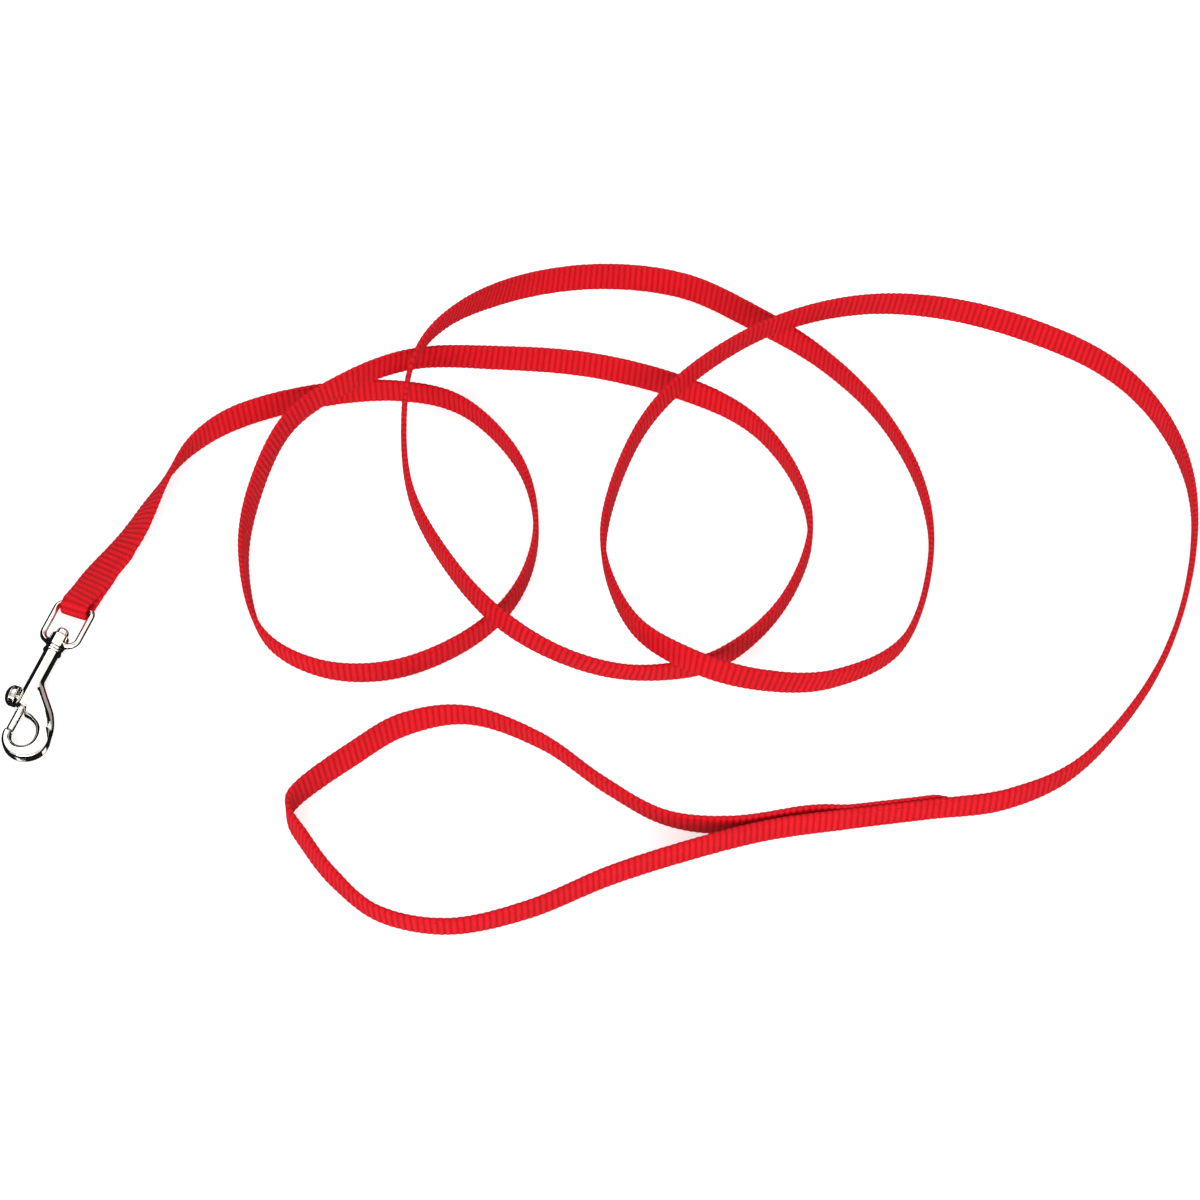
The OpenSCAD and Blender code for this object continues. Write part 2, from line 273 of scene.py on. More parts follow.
def solid_volume(mesh):
    """Volume of a closed mesh, less than nought if its faces point inwards."""
    mesh.calc_loop_triangles()
    co, at = np.zeros(len(mesh.vertices) * 3), np.zeros(len(mesh.loop_triangles) * 3, np.int32)
    mesh.vertices.foreach_get("co", co)
    mesh.loop_triangles.foreach_get("vertices", at)
    a, b, c = co.reshape(-1, 3)[at.reshape(-1, 3)].transpose(1, 0, 2)
    return float((a * np.cross(b, c)).sum()) / 6


def mesh_object(name, points, faces, smooth=True):
    """A new object whose faces point outwards."""
    mesh = bpy.data.meshes.new(name)
    mesh.from_pydata([tuple(p) for p in points], [], [tuple(f) for f in faces])
    mesh.validate()
    mesh.update()
    if solid_volume(mesh) < 0:
        mesh.flip_normals()
    mesh.polygons.foreach_set("use_smooth", [smooth] * len(mesh.polygons))
    piece = bpy.data.objects.new(name, mesh)
    bpy.context.scene.collection.objects.link(piece)
    return piece


def tube_faces(rings, sides, base=0):
    """Faces of a closed tube, whose points are rings one after another from number base on."""
    faces = []
    for i in range(rings - 1):
        for j in range(sides):
            a, b = base + i * sides + j, base + i * sides + (j + 1) % sides
            faces.append((a, b, b + sides, a + sides))
    faces.append(tuple(base + j for j in range(sides - 1, -1, -1)))
    faces.append(tuple(base + (rings - 1) * sides + j for j in range(sides)))
    return faces


def wobble(x, seed):
    """Smooth, repeatable variation between about -1 and 1."""
    return (
        np.sin(x * 0.913 + seed * 1.7)
        + np.sin(x * 2.371 + seed * 4.1)
        + np.sin(x * 5.113 + seed * 2.9)
    ) / 3


# The webbing's section, as shares of half its width and half its thickness, once round.
SECTION = [
    (-0.93, 0.9), (-0.62, 1.0), (-0.2, 1.02), (0.2, 1.02), (0.62, 1.0), (0.93, 0.9),
    (1.0, 0.42), (1.0, -0.42),
    (0.93, -0.9), (0.62, -1.0), (0.2, -1.02), (-0.2, -1.02), (-0.62, -1.0), (-0.93, -0.9),
    (-1.0, -0.42), (-1.0, 0.42)]
# Places along one rib, as shares of its pitch, and how high the rib stands there.
RIB_STEPS = [(0.0, 0.0), (0.18, 0.66), (0.5, 1.0), (0.82, 0.66)]
# How deep the groove between two ribs is on the face and at the edge, and how much the ribs vary.
GROOVE = 0.15 * MM
EDGE_DIP = 0.1 * MM
RIBS_VARY = 0.16
EDGES_VARY = 0.05 * MM
# How far from each cut end the sealing heat reached, and how much it took off there.
SEALED = 2.4 * MM
MELTED = 0.3
# The thin side of the section as a share of the wide one, for the weave's coordinates.
THIN_SIDE = 0.15
# How softly the sewn stretch of the hand loop begins and ends.
SEAM_BLUR = 5 * MM


def distance_at(u):
    """Distance along the strap where the run passes place u of the route."""
    place = station(route, u)[0]
    near = np.linalg.norm(strap.at - place, axis=1)
    return strap.s[int(near.argmin())]


def within(s, first, last, blur):
    """One between first and last, nought well outside, with soft ends."""
    return 1 / (1 + np.exp(-(s - first) / blur)) / (1 + np.exp((s - last) / blur))


def pressed_share(places):
    """How thick the strap stays where the thread of the hand loop pulls its layers together."""
    first, last = distance_at(HANDLE_SEWN[0]), distance_at(HANDLE_SEWN[1])
    sewn = last - first
    front = within(places, first, last, SEAM_BLUR)
    back = within(places, strap.length - sewn, strap.length + 10 * SEAM_BLUR, SEAM_BLUR)
    return 1 - (1 - PRESSED) * np.maximum(front, back)


def make_webbing():
    """The whole strap as one mesh with its ribs, and the points that its middle follows."""
    ribs = int(strap.length / RIB)
    pitch = strap.length / ribs
    places, heights = [], []
    for k in range(ribs):
        for at, height in RIB_STEPS:
            if k == 0 and at == 0:
                continue
            places.append((k + at) * pitch)
            heights.append(height)
    places, heights = np.array(places), np.array(heights)
    at, across, face, width = strap.sample(places)
    index = np.floor(places / pitch)
    rib_height = heights * (1 + RIBS_VARY * wobble(index * 2.3, 1))
    half_t = (THICK / 2 - GROOVE + GROOVE * rib_height) * pressed_share(places)
    half_w = width / 2 - EDGE_DIP + EDGE_DIP * rib_height + EDGES_VARY * wobble(index * 1.7, 5)
    # Both cut ends are sealed by heat, so they draw in and thin out.
    melted = np.exp(-((np.minimum(places, strap.length - places) / SEALED) ** 2))
    half_w = half_w * (1 - MELTED * melted)
    half_t = half_t * (1 - MELTED * melted)
    section = np.array(SECTION)
    n, m = len(places), len(section)
    points = (
        at[:, None, :]
        + section[None, :, :1] * half_w[:, None, None] * across[:, None, :]
        + section[None, :, 1:] * half_t[:, None, None] * face[:, None, :]
    )
    piece = mesh_object("webbing_strap", points.reshape(-1, 3), tube_faces(n, m))
    # Coordinates for the weave: ribs along, and millimetres across.
    uv = piece.data.uv_layers.new(name="weave")
    along = np.repeat(places / pitch, m)
    steps = np.diff(section, axis=0) * [1, THIN_SIDE]
    side = np.concatenate([[0.0], np.cumsum(np.hypot(*steps.T))])
    sideways = np.tile(side * WIDTH / 2 / MM, n)
    loop_vertex = np.zeros(len(piece.data.loops), np.int32)
    piece.data.loops.foreach_get("vertex_index", loop_vertex)
    u, v = along[loop_vertex], sideways[loop_vertex]
    uv.data.foreach_set("uv", np.stack([u, v], 1).astype(np.float32).ravel())
    return piece, at[:: len(RIB_STEPS)]


webbing, webbing_path = make_webbing()
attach(webbing, "leash")
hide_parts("webbing")

# ---------------------------------------------------------------------------------- stitching

# The thread's own radius, the corners round it and the steps along one stitch.
THREAD_R, THREAD_SIDES, STITCH_STEPS = 0.24 * MM, 8, 8
# The share of a stitch left free at each of its ends, and how deep the thread lies in the face at
# a stitch's ends and at its crown.
STITCH_GAP = 0.05
END_DEPTH, CROWN_DEPTH = 0.4 * MM, 0.06 * MM


def ring(centre, a, b, radius, sides):
    """Points once round a centre, in the plane of directions a and b."""
    turns = [2 * math.pi * k / sides for k in range(sides)]
    return [centre + radius * (math.cos(t) * a + math.sin(t) * b) for t in turns]


def thread_arcs(name, first, last, count, row_side, face_height, pitch):
    """Lockstitch thread over both faces of a sewn stretch: each stitch is a short arch of thread
    that goes down into the webbing at its two ends."""
    points, faces = [], []
    sides, steps, gap = THREAD_SIDES, STITCH_STEPS, (last - first) / count
    for under in (False, True):
        for row in (-row_side, row_side):
            for k in range(count):
                s0, s1 = first + gap * (k + STITCH_GAP), first + gap * (k + 1 - STITCH_GAP)
                s = np.linspace(s0, s1, steps + 1)
                at, across, face, _ = strap.sample(np.clip(s, 0, strap.length))
                base = len(points)
                for i in range(steps + 1):
                    f = i / steps
                    lift = (math.sin(math.pi * f)) ** 0.5 if 0 < f < 1 else 0.0
                    height = face_height - mix(END_DEPTH, CROWN_DEPTH, lift)
                    if under:
                        height = -(height + pitch)
                    centre = at[i] + height * face[i] + row * across[i]
                    points.extend(ring(centre, across[i], face[i], THREAD_R, sides))
                faces.extend(tube_faces(steps + 1, sides, base))
    piece = mesh_object(name, points, faces)
    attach(piece, "leash")
    return piece


# ---------------------------------------------------------------------------------- solid shapes


def unit_rows(v):
    return v / np.maximum(np.linalg.norm(v, axis=-1, keepdims=True), 1e-12)


def surface(name, field, low, high, step, offset):
    """Closed smooth mesh where field is nought, from a grid of that step. All in millimetres on
    the snap's own axes, and the mesh is moved by offset, in metres."""
    low, high = np.array(low, float), np.array(high, float)
    counts = np.ceil((high - low) / step).astype(int) + 1
    axes = [low[k] + step * np.arange(counts[k]) for k in range(3)]
    values = np.empty(tuple(counts))
    for i, x in enumerate(axes[0]):
        slab = np.stack(np.meshgrid([x], axes[1], axes[2], indexing="ij"), -1)
        values[i] = field(slab.reshape(-1, 3)).reshape(counts[1], counts[2])
    cells = counts - 1
    total, hits = np.zeros((cells.prod(), 3)), np.zeros(cells.prod())
    edges = []
    for axis in range(3):
        first = [slice(None)] * 3
        second = [slice(None)] * 3
        first[axis], second[axis] = slice(0, -1), slice(1, None)
        va, vb = values[tuple(first)], values[tuple(second)]
        at = np.argwhere((va < 0) != (vb < 0))
        a, b = va[tuple(at.T)], vb[tuple(at.T)]
        place = low + step * at.astype(float)
        place[:, axis] += step * a / (a - b)
        others = [k for k in range(3) if k != axis]
        around = []
        for d0, d1 in ((-1, -1), (0, -1), (0, 0), (-1, 0)):
            cell = at.copy()
            cell[:, others[0]] += d0
            cell[:, others[1]] += d1
            index = (cell[:, 0] * cells[1] + cell[:, 1]) * cells[2] + cell[:, 2]
            np.add.at(total, index, place)
            np.add.at(hits, index, 1)
            around.append(index)
        quads = np.stack(around, 1)
        turn = (a < 0) == (axis != 1)
        quads[~turn] = quads[~turn][:, ::-1]
        edges.append(quads)
    used = np.nonzero(hits)[0]
    number = np.full(cells.prod(), -1)
    number[used] = np.arange(len(used))
    points = total[used] / hits[used][:, None]
    # A few short moves down the slope set the points on the surface.
    h, least_slope, longest_move = 0.02, 0.2, 0.3 * step
    for _ in range(3):
        value = field(points)
        slope = np.stack(
            [(field(points + h * e) - field(points - h * e)) / (2 * h) for e in np.eye(3)], 1
        )
        move = value / np.maximum((slope**2).sum(1), least_slope)
        points = points - np.clip(move, -longest_move, longest_move)[:, None] * slope
    quads = number[np.concatenate(edges)]
    return mesh_object(name, points * MM + np.array(offset), quads.tolist())


def soft_min(a, b, k):
    """Join of two shapes with a fillet about k wide."""
    h = np.clip(0.5 + 0.5 * (b - a) / k, 0, 1)
    return b + (a - b) * h - k * h * (1 - h)


def rod(p, r, y0, y1, edge):
    """Round rod along Y with rounded ends."""
    q = np.stack([np.hypot(p[:, 0], p[:, 2]) - r + edge,
                  np.abs(p[:, 1] - (y0 + y1) / 2) - (y1 - y0) / 2 + edge], 1)
    return np.minimum(q.max(1), 0) + np.linalg.norm(np.maximum(q, 0), axis=1) - edge


def to_polygon(x, y, corners):
    """Signed distance to a closed outline, less than nought inside it."""
    best = np.full(x.shape, 1e9)
    inside = np.zeros(x.shape, bool)
    for (ax, ay), (bx, by) in zip(corners, np.roll(corners, -1, axis=0)):
        ex, ey = bx - ax, by - ay
        t = np.clip(((x - ax) * ex + (y - ay) * ey) / max(ex * ex + ey * ey, 1e-12), 0, 1)
        best = np.minimum(best, (x - ax - t * ex) ** 2 + (y - ay - t * ey) ** 2)
        crosses = ((ay > y) != (by > y)) & (
            x < (bx - ax) * (y - ay) / np.where(by == ay, 1e-12, by - ay) + ax
        )
        inside ^= crosses
    return np.where(inside, -1, 1) * np.sqrt(best)


def arc(centre, r, start, end, n):
    """Points along part of a circle, between two angles in degrees."""
    turns = np.radians(np.linspace(start, end, n))
    return [(centre[0] + r * math.cos(t), centre[1] + r * math.sin(t)) for t in turns]


# The hook's outline on the snap's own axes, as in the CAD model.
SEAT, SEAT_R = (4.4, -29.2), 3.3
HOLLOW, HOLLOW_R = (1.6, -29.0), 6.1
BELLY, BELLY_R = (5.65, -29.5), 6.85
FLANK, FLANK_R, FLANK_TURN = (-4.5, -29.5), 17.0, 41
HOOK_T = 3.6
# Rounding of the hook's outer edge and of its inner one, and how far from the belly's middle the
# one gives way to the other, over what distance.
HOOK_EDGE, HOLE_EDGE = 0.95, 1.6
EDGE_RING_R, EDGE_RING_BLUR = 5.9, 1.4
# How far the flank slopes in from the middle to the face, where that fades out along the belly,
# the height over which it slopes, what makes its slanting distances about true, and the rounding
# of its ridge.
BEVEL, BEVEL_END, BEVEL_FADE = 2.05, -29, 4
BEVEL_LOW, BEVEL_HEIGHT = 0.2, 1.6
SLANT_SHARE = 0.72
RIDGE_ROUND = 0.8
# Radius, start and end of each turned shape along the snap's axis.
BARREL, FLANGE, COLLAR = (2.25, -20.8, 0.0), (2.75, -1.75, -1.05), (2.5, -1.4, 0.0)
BORE, HUB, HUB_BORE = (1.15, -31.0, -4.2), (2.7, 0.1, 4.3), (1.35, -2.0, 6.0)
# The slot in the barrel's side for the stud's neck, and the rounding of the bores.
SLOT_MIDDLE, SLOT_HALF_LENGTH, SLOT_HALF_WIDTH = -14.6, 4.6, 1.0
BORE_EDGE = 0.05

# Where the flank leaves the barrel.
SHOULDER = [(1.2, -11.0), (2.1, -11.3), (2.6, -11.7), (3.4, -12.7), (5.2, -14.85)]
hook_outline = np.array(
    SHOULDER
    + arc(FLANK, FLANK_R, FLANK_TURN, 2, 14)
    + arc(BELLY, BELLY_R, -2, -178, 40)
    + [(-1.1, -29.05), (-0.8, -28.85), (0.0, -28.8), (0.8, -28.85), (1.08, -29.05)]
    + arc(SEAT, SEAT_R, 182, 350, 36)
    + arc(HOLLOW, HOLLOW_R, 2, 89, 30)
    + [(1.5, -22.2), (1.1, -21.0), (0.4, -20.4), (0.0, -19.0), (0.0, -12.0)]
)
flank_outline = np.array(
    [(-9.0, -11.0)] + SHOULDER
    + arc(FLANK, FLANK_R, FLANK_TURN, 0, 14)
    + [(12.5, -40.0), (-9.0, -40.0)]
)


def hook_plate(p):
    """The flat of the hook with rounded edges. Its flank slopes out from a ridge."""
    x, y, z = p[:, 0], p[:, 1], np.abs(p[:, 2])
    d = to_polygon(x, y, hook_outline)
    middle_r = np.hypot(x - BELLY[0], y - BELLY[1])
    inner = np.clip((EDGE_RING_R - middle_r) / EDGE_RING_BLUR, 0, 1)
    edge = HOOK_EDGE + (HOLE_EDGE - HOOK_EDGE) * inner
    q = np.stack([d + edge, z - HOOK_T / 2 + edge], 1)
    plate = np.minimum(q.max(1), 0) + np.linalg.norm(np.maximum(q, 0), axis=1) - edge
    inset = BEVEL * np.clip((y - BEVEL_END) / BEVEL_FADE, 0, 1)
    rise = np.clip((z - BEVEL_LOW) / BEVEL_HEIGHT, -0.2, 1.2)
    slope = to_polygon(x, y, flank_outline) + inset * rise
    return -soft_min(-plate, -SLANT_SHARE * slope, RIDGE_ROUND)


def hook_field(p):
    """The casting: barrel, flange and collar joined to the hook, less the bore and the slot."""
    body = soft_min(rod(p, *BARREL, edge=0.3), rod(p, *FLANGE, edge=0.25), k=0.35)
    body = soft_min(body, rod(p, *COLLAR, edge=0.2), k=0.25)
    body = soft_min(body, hook_plate(p), k=0.8)
    bore = rod(p, *BORE, edge=BORE_EDGE)
    x, y, z = p.T
    slot = np.maximum(np.abs(y - SLOT_MIDDLE) - SLOT_HALF_LENGTH, np.abs(z) - SLOT_HALF_WIDTH)
    return np.maximum(np.maximum(body, -bore), -np.maximum(slot, x))


# The middle line of the eye's wire, with its foot and corner radii. Its section is drawn in towards
# a blunt edge on each side, which widens the dark lines it mirrors: at power 2 it would be round.
EYE_LEG_X, EYE_TOP = 5.35, 15.0
EYE_FOOT, EYE_FOOT_R, EYE_CORNER_R = 1.7, 3, 2
EYE_WIRE_R, EYE_POWER = 0.95, 1.35
FOOT_MIDDLE = EYE_LEG_X - EYE_FOOT_R, EYE_FOOT + EYE_FOOT_R
CORNER_MIDDLE = EYE_LEG_X - EYE_CORNER_R, EYE_TOP - EYE_CORNER_R
eye_line = np.array(
    [(1.2, EYE_FOOT)]
    + arc(FOOT_MIDDLE, EYE_FOOT_R, -90, 0, 12)
    + arc(CORNER_MIDDLE, EYE_CORNER_R, 0, 90, 10)
    + arc((-CORNER_MIDDLE[0], CORNER_MIDDLE[1]), EYE_CORNER_R, 90, 180, 10)
    + arc((-FOOT_MIDDLE[0], FOOT_MIDDLE[1]), EYE_FOOT_R, 180, 270, 12)
    + [(-1.2, EYE_FOOT)]
)


def eye_field(p):
    """The eye: its wire joined to the hub, less the hub's bore."""
    away = np.full(len(p), 1e9)
    for (ax, ay), (bx, by) in zip(eye_line[:-1], eye_line[1:]):
        ex, ey = bx - ax, by - ay
        t = np.clip(((p[:, 0] - ax) * ex + (p[:, 1] - ay) * ey) / (ex * ex + ey * ey), 0, 1)
        away = np.minimum(away, np.hypot(p[:, 0] - ax - t * ex, p[:, 1] - ay - t * ey))
    wire = (away**EYE_POWER + np.abs(p[:, 2]) ** EYE_POWER) ** (1 / EYE_POWER) - EYE_WIRE_R
    body = soft_min(wire, rod(p, *HUB, edge=0.5), k=0.9)
    return np.maximum(body, -rod(p, *HUB_BORE, edge=BORE_EDGE))


def lathe(name, profile, axis, offset, sides=64):
    """Turned shape from (radius, place along the axis) in millimetres. axis is y or -x."""
    points = []
    for r, along in profile:
        for k in range(sides):
            t = 2 * math.pi * k / sides
            a, b = r * math.cos(t), r * math.sin(t)
            points.append((a, along, b) if axis == "y" else (-along, a, b))
    faces = tube_faces(len(profile), sides)
    return mesh_object(name, np.array(points) * MM + np.array(offset), faces)


def rounded(profile, radius, steps=4):
    """The profile with each inner corner rounded."""
    made = [profile[0]]
    for (a, b, c) in zip(profile, profile[1:], profile[2:]):
        a, b, c = np.array(a), np.array(b), np.array(c)
        r = min(radius, np.linalg.norm(b - a) * 0.45, np.linalg.norm(c - b) * 0.45)
        p, q = b + unit(a - b) * r, b + unit(c - b) * r
        for k in range(steps + 1):
            f = k / steps
            made.append(tuple((1 - f) ** 2 * p + 2 * f * (1 - f) * b + f * f * q))
    made.append(profile[-1])
    return made


# ---------------------------------------------------------------------------------- materials


class Nodes:
    """Short calls that build one material's node tree."""

    def __init__(self, name):
        self.material = bpy.data.materials.new(name)
        self.material.use_nodes = True
        self.tree = self.material.node_tree
        self.shader = self.tree.nodes["Principled BSDF"]

    def add(self, kind, inputs=None, **settings):
        node = self.tree.nodes.new(kind)
        for key, value in settings.items():
            setattr(node, key, value)
        for key, value in (inputs or {}).items():
            self.feed(node.inputs[key], value)
        return node

    def feed(self, socket, value):
        if isinstance(value, bpy.types.NodeSocket):
            self.tree.links.new(value, socket)
        elif isinstance(value, bpy.types.Node):
            self.tree.links.new(value.outputs[0], socket)
        else:
            socket.default_value = value

    def math(self, operation, a, b=0.0):
        return self.add("ShaderNodeMath", {0: a, 1: b}, operation=operation)

    def ramp(self, value, stops):
        node = self.add("ShaderNodeValToRGB", {"Fac": value})
        while len(node.color_ramp.elements) < len(stops):
            node.color_ramp.elements.new(0.5)
        for element, (at, colour) in zip(node.color_ramp.elements, stops):
            element.position = at
            element.color = (*colour, 1)
        return node

    def noise(self, vector, scale, detail=3.0, rough=0.5):
        inputs = {"Vector": vector, "Scale": scale, "Detail": detail, "Roughness": rough}
        return self.add("ShaderNodeTexNoise", inputs)

    def mix_colour(self, factor, a, b, blend="MIX"):
        node = self.add("ShaderNodeMix", data_type="RGBA", blend_type=blend)
        for index, value in ((0, factor), (6, a), (7, b)):
            self.feed(node.inputs[index], value)
        return node.outputs[2]

    def set(self, **values):
        for key, value in values.items():
            self.feed(self.shader.inputs[key.replace("_", " ")], value)

    def bump(self, height, strength, distance):
        node = self.add(
            "ShaderNodeBump", {"Height": height, "Strength": strength, "Distance": distance}
        )
        self.feed(self.shader.inputs["Normal"], node.outputs[0])


# Spacing of the yarns across the webbing, in millimetres.
YARN = 0.42
# How near another surface has to be for the metal to take painted shade, in metres.
SHADE_REACH = 0.0007


def webbing_material():
    """Ribbed weave: lobes of yarn over each rib, fine fibres, painted shade in grooves, faint
    blotches.
    """
    n = Nodes("webbing_red")
    weave = n.add("ShaderNodeUVMap", uv_map="weave")
    parts = n.add("ShaderNodeSeparateXYZ", {0: weave.outputs[0]})
    along, side = parts.outputs[0], parts.outputs[1]
    rib = n.math("FLOOR", along)
    shift = n.math("MULTIPLY", n.math("MODULO", rib, 2.0), 0.5)
    yarn = n.math("ADD", n.math("DIVIDE", side, YARN), shift)
    lobe = n.math("ABSOLUTE", n.math("SINE", n.math("MULTIPLY", yarn, math.pi)))
    lobe = n.math("POWER", lobe, 0.6)
    crest = n.math("ABSOLUTE", n.math("SINE", n.math("MULTIPLY", along, math.pi)))
    stretched = n.add("ShaderNodeCombineXYZ", {0: n.math("MULTIPLY", along, 0.9),
                                               1: n.math("MULTIPLY", side, 9.0)})
    fibre = n.noise(stretched.outputs[0], 2.2, 4.0, 0.65)
    blotch = n.noise(weave.outputs[0], 0.09, 2.0)
    height = n.math("ADD", n.math("MULTIPLY", n.math("MULTIPLY", lobe, crest), 0.75),
                    n.math("MULTIPLY", fibre.outputs[0], 0.25))
    # The red is darker where the weave lies low, between yarns and towards the grooves: painted
    # shade, with the fibres' own tone mixed in.
    red = n.ramp(height, [(0.0, (0.33, 0.0, 0.003)), (0.35, (0.51, 0.001, 0.006)),
                          (0.8, (0.71, 0.003, 0.015))])
    # Painted shade: the colour darkens again in the groove between two ribs.
    groove_shade = n.ramp(crest, [(0.0, (0.88, 0.62, 0.62)), (0.95, (1, 1, 1))])
    colour = n.mix_colour(1.0, red.outputs[0], groove_shade.outputs[0], "MULTIPLY")
    tone = n.ramp(blotch.outputs[0], [(0.3, (0.9, 0.9, 0.9)), (0.7, (1, 1, 1))])
    colour = n.mix_colour(1.0, colour, tone.outputs[0], "MULTIPLY")
    n.set(Base_Color=colour)
    rough = n.math("ADD", n.math("MULTIPLY", fibre.outputs[0], 0.2), 0.42)
    n.set(Roughness=rough, Specular_IOR_Level=0.1, Sheen_Weight=0.05, Sheen_Roughness=0.4,
          Sheen_Tint=(1.0, 0.2, 0.25, 1))
    n.bump(height, 0.8, 0.00012)
    return n.material


def thread_material():
    """Twisted sewing thread with a little fluff."""
    n = Nodes("thread_red")
    where = n.add("ShaderNodeTexCoord").outputs["Object"]
    twist = n.add("ShaderNodeTexWave", {"Vector": where, "Scale": 900.0, "Distortion": 1.5,
                                        "Detail": 1.0}, bands_direction="DIAGONAL")
    fluff = n.noise(where, 3000.0, 3.0)
    red = n.ramp(twist.outputs["Fac"], [(0.0, (0.33, 0.0, 0.004)), (1.0, (0.6, 0.003, 0.012))])
    n.set(Base_Color=red.outputs[0], Specular_IOR_Level=0.1, Sheen_Weight=0.04,
          Sheen_Tint=(1.0, 0.2, 0.25, 1))
    n.set(Roughness=n.math("ADD", n.math("MULTIPLY", fluff.outputs[0], 0.2), 0.4))
    n.bump(twist.outputs["Fac"], 0.6, 0.00006)
    return n.material


def metal_material(name, colour, dull, rough, wave):
    """Plated metal: skin with slight waves, smudges that dull it, and painted shade in narrow gaps.
    """
    n = Nodes(name)
    where = n.add("ShaderNodeTexCoord").outputs["Object"]
    smudge = n.noise(where, 220.0, 5.0, 0.6)
    fine = n.noise(where, 1600.0, 3.0, 0.5)
    skin = n.noise(where, 330.0, 2.0, 0.4)
    tone = n.ramp(smudge.outputs[0], [(0.35, dull), (0.65, colour)])
    # Painted shade: the colour falls nearly to black where other surfaces lie close, as in gaps and
    # grooves.
    open_sky = n.add("ShaderNodeAmbientOcclusion", {"Distance": SHADE_REACH}, samples=6)
    painted_shade = n.ramp(open_sky.outputs["AO"], [(0.2, (0.03, 0.03, 0.03)), (0.5, (1, 1, 1))])
    colour = n.mix_colour(1.0, tone.outputs[0], painted_shade.outputs[0], "MULTIPLY")
    n.set(Base_Color=colour, Metallic=1.0)
    spread = n.math("MULTIPLY", smudge.outputs[0], rough)
    grain = n.math("MULTIPLY", fine.outputs[0], rough * 0.5)
    n.set(Roughness=n.math("ADD", n.math("ADD", spread, grain), rough * 0.35))
    height = n.math("ADD", skin.outputs[0], n.math("MULTIPLY", fine.outputs[0], 0.08))
    n.bump(height, wave, 0.0003)
    return n.material


webbing_red = webbing_material()
thread_red = thread_material()
nickel = metal_material("nickel", (0.92, 0.89, 0.83), (0.84, 0.8, 0.74), 0.06, 0.1)
polished = metal_material("polished_bolt", (0.9, 0.89, 0.87), (0.82, 0.81, 0.79), 0.05, 0.04)
wire_steel = metal_material("spring_wire", (0.5, 0.51, 0.53), (0.36, 0.37, 0.39), 0.35, 0.1)


def wear(piece, material):
    """Give a piece its one material."""
    piece.data.materials.clear()
    piece.data.materials.append(material)


# ---------------------------------------------------------------------------------- the pieces

wear(webbing, webbing_red)

# The stitches begin and end a little inside the sewn stretches.
SNAP_STITCHED = (0.95, 1.7)
HANDLE_STITCHED = (HANDLE_SEWN[0] + 0.12, HANDLE_SEWN[1] - 0.05)
snap_thread = thread_arcs(
    "snap_thread", *map(distance_at, SNAP_STITCHED), count=6, row_side=2.6 * MM,
    face_height=THICK / 2, pitch=SNAP_PITCH)
handle_thread = thread_arcs(
    "handle_thread", *map(distance_at, HANDLE_STITCHED), count=9, row_side=3.3 * MM,
    face_height=PRESSED * THICK / 2, pitch=HANDLE_PITCH)
for piece, node in ((snap_thread, "snap_stitching"), (handle_thread, "handle_stitching")):
    wear(piece, thread_red)
    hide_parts(node)

# The castings' mesh spacing, and where the stud, the bolt's back end and the spring's back end are
# on the snap's axis, in millimetres.
GRID = 0.13
STUD_Y, BOLT_BACK, SPRING_BACK = -18.2, -15.4, -4.25
hook = surface("hook_casting", hook_field, (-2.8, -37, -3.4), (14.6, 0.6, 3.4), GRID, SWIVEL)
eye = surface("eye_casting", eye_field, (-6.8, -0.4, -3.6), (6.8, 16.6, 3.6), GRID, SWIVEL)

rivet = lathe("rivet_head", rounded(
    [(0.05, -2.6), (1.3, -2.6), (1.3, 4.4), (1.7, 4.42), (1.8, 4.8), (1.8, 5.9), (1.35, 6.5),
     (0.7, 6.7), (0.05, 6.7)], 0.35), "y", SWIVEL)
bolt = lathe("bolt_pin", rounded(
    [(0.05, -28.7), (0.95, -28.7), (1.1, -28.5), (1.1, BOLT_BACK), (0.05, BOLT_BACK)], 0.12),
    "y", SWIVEL)
stud = lathe("stud_button", rounded(
    [(0.05, 0.5), (0.85, 0.5), (0.85, 2.5), (1.1, 2.57), (2.8, 2.57), (3.05, 2.75), (3.05, 3.55),
     (2.9, 3.68), (2.6, 3.72), (2.6, 3.98), (2.95, 4.02), (3.08, 4.1), (3.08, 4.18), (2.97, 4.55),
     (2.72, 4.98), (2.3, 5.4), (1.7, 5.75), (0.95, 5.95), (0.05, 6.0)], 0.08),
    "-x", SWIVEL + [0, STUD_Y * MM, 0])

for piece, body, node, slot, material in (
    (hook, "hook", "hook_body", "nickel_plate", nickel),
    (eye, "eye", "swivel_eye", "nickel_plate", nickel),
    (rivet, "hook", "swivel_rivet", "nickel_plate", nickel),
    (bolt, "bolt", "bolt", "bolt_steel", polished),
    (stud, "bolt", "thumb_stud", "nickel_plate", nickel),
):
    wear(piece, material)
    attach(piece, body)
    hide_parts(node)


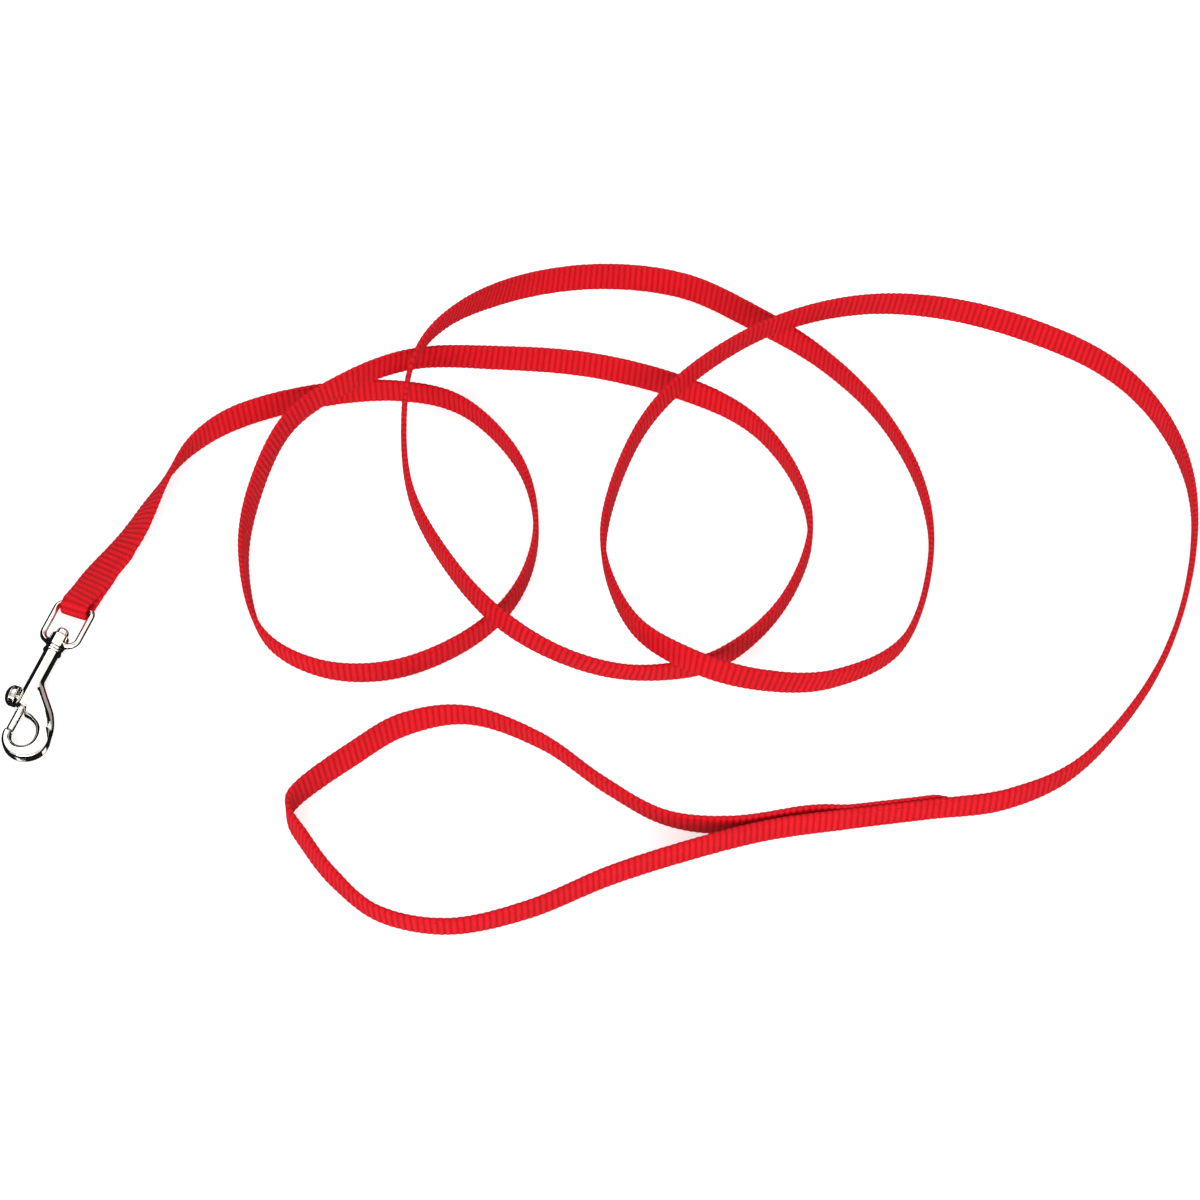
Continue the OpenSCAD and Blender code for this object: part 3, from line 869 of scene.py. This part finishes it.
def coil_spring():
    """The closed spring behind the bolt, with its end turns laid flat."""
    wire_r, coil_r, sides, turns, per_turn, flat_share = 0.175, 0.87, 10, 9, 28, 0.07
    y0, y1 = BOLT_BACK + wire_r, SPRING_BACK - wire_r
    count = turns * per_turn
    line = []
    for i in range(count + 1):
        f = i / count
        y = mix(y0, y1, min(1, max(0, (f - flat_share) / (1 - 2 * flat_share))))
        t = 2 * math.pi * turns * f
        line.append((coil_r * math.cos(t), y, coil_r * math.sin(t)))
    line = np.array(line)
    ahead = unit_rows(np.gradient(line, axis=0))
    out = unit_rows(line * [1, 0, 1])
    side = np.cross(ahead, out)
    points = []
    for i in range(count + 1):
        points.extend(ring(line[i], out[i], side[i], wire_r, sides))
    faces = tube_faces(count + 1, sides)
    return mesh_object("spring_coil", np.array(points) * MM + SWIVEL, faces)


spring = coil_spring()
wear(spring, wire_steel)
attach(spring, "hook")
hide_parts("bolt_spring")
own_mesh(spring)

# ---------------------------------------------------------------------------------- the studio


def card(name, centre, facing, width, height):
    """A flat panel that faces a point."""
    piece = mesh_object(name, [(-width / 2, -height / 2, 0), (width / 2, -height / 2, 0),
                               (width / 2, height / 2, 0), (-width / 2, height / 2, 0)],
                        [(0, 1, 2, 3)], smooth=False)
    piece.location = centre
    piece.rotation_euler = (Vector(facing) - Vector(centre)).to_track_quat("Z", "Y").to_euler()
    return piece


def plain(name, grey, glow):
    """Matt grey that can glow white."""
    n = Nodes(name)
    n.set(Base_Color=(grey, grey, grey, 1), Roughness=1.0, Specular_IOR_Level=0.0,
          Emission_Color=(1, 1, 1, 1), Emission_Strength=glow)
    return n.material


# The floor lies a hair below the leash, with its middle under the middle of the layout.
FLOOR_Z = -0.00005
floor = card("floor", (0.14, 0.08, FLOOR_Z), (0.14, 0.08, 1), 20, 20)
wear(floor, plain("floor_white", 0.64, 0.6))
# The metal doesn't mirror the pale floor, only the dark sheet under it: a painted reflection.
floor.visible_glossy = False

# Panels that show only as reflections and light nothing, so almost only on the metal: painted
# reflections of a bright ceiling, a bright panel on the right, a dark sheet under the floor that
# the metal mirrors in place of the pale floor, and dark and grey panels at the sides of the studio,
# and two small bright patches under the floor that put painted glints on the hook's lower side.
for name, shade, glow, centre, facing, width, height in (
    ("card_above", 0.0, 1.15, (0.0, 1.6, 1.8), (0.0, 1.6, 0.0), 6.0, 2.8),
    ("card_right_glow", 0.0, 1.15, (1.9, 0.3, 1.05), (0.0, 0.0, 0.5), 4.0, 1.2),
    ("card_under", 0.01, 0, (0.0, 0.0, -0.02), (0.0, 0.0, 1.0), 4.0, 4.0),
    ("card_left", 0.005, 0, (-1.0, 0.2, 0.5), (0.0, 0.2, 0.5), 2.4, 1.16),
    ("card_back_left", 0.005, 0, (-0.6, 1.2, 0.45), (-0.4, 0.0, 0.45), 1.3, 1.0),
    ("card_right", 0.005, 0, (1.2, 0.1, 0.16), (0.0, 0.1, 0.16), 2.4, 0.4),
    ("card_near_right", 0.005, 0, (0.019, 0.01, 0.0025), (0.0, 0.01, 0.0025), 0.08, 0.011),
    ("card_back_right", 0.0, 0.4, (0.75, 1.1, 0.26), (0.5, 0.0, 0.26), 1.3, 0.56),
    ("card_back_edge", 0.005, 0, (0.35, 1.0, 0.72), (0.35, 0.0, 0.72), 0.5, 0.6),
    ("card_front", 0.005, 0, (0.1, -1.1, 0.24), (0.1, 0.0, 0.24), 2.4, 0.6),
    ("card_glint_left", 0.0, 1.2, (-0.001, -0.0375, -0.018), (-0.001, -0.0375, 1.0),
     0.014, 0.002),
    ("card_glint_right", 0.0, 1.2, (0.021, -0.0158, -0.018), (0.021, -0.0158, 1.0),
     0.004, 0.008),
):
    panel = card(name, centre, facing, width, height)
    wear(panel, plain(name, shade, glow))
    panel.visible_camera = False
    panel.visible_diffuse = False
    panel.visible_shadow = False


def area_light(name, at, aim, size, power):
    """A rectangular light that faces a point."""
    data = bpy.data.lights.new(name, "AREA")
    data.shape = "RECTANGLE"
    data.size, data.size_y = size
    data.energy = power
    light = bpy.data.objects.new(name, data)
    bpy.context.scene.collection.objects.link(light)
    light.location = at
    light.rotation_euler = (Vector(aim) - Vector(at)).to_track_quat("-Z", "Y").to_euler()


area_light("key", (0.4, -1.3, 0.8), (0.12, 0.05, 0), (1.8, 1.0), 24)
area_light("top", (-0.5, 0.9, 1.3), (0.1, 0.05, 0), (1.6, 1.3), 6)

world = bpy.data.worlds.new("studio")
world.use_nodes = True
background = world.node_tree.nodes["Background"]
background.inputs["Color"].default_value = (1, 1, 1, 1)
background.inputs["Strength"].default_value = 0.8
bpy.context.scene.world = world
bpy.context.scene.view_settings.view_transform = "Standard"
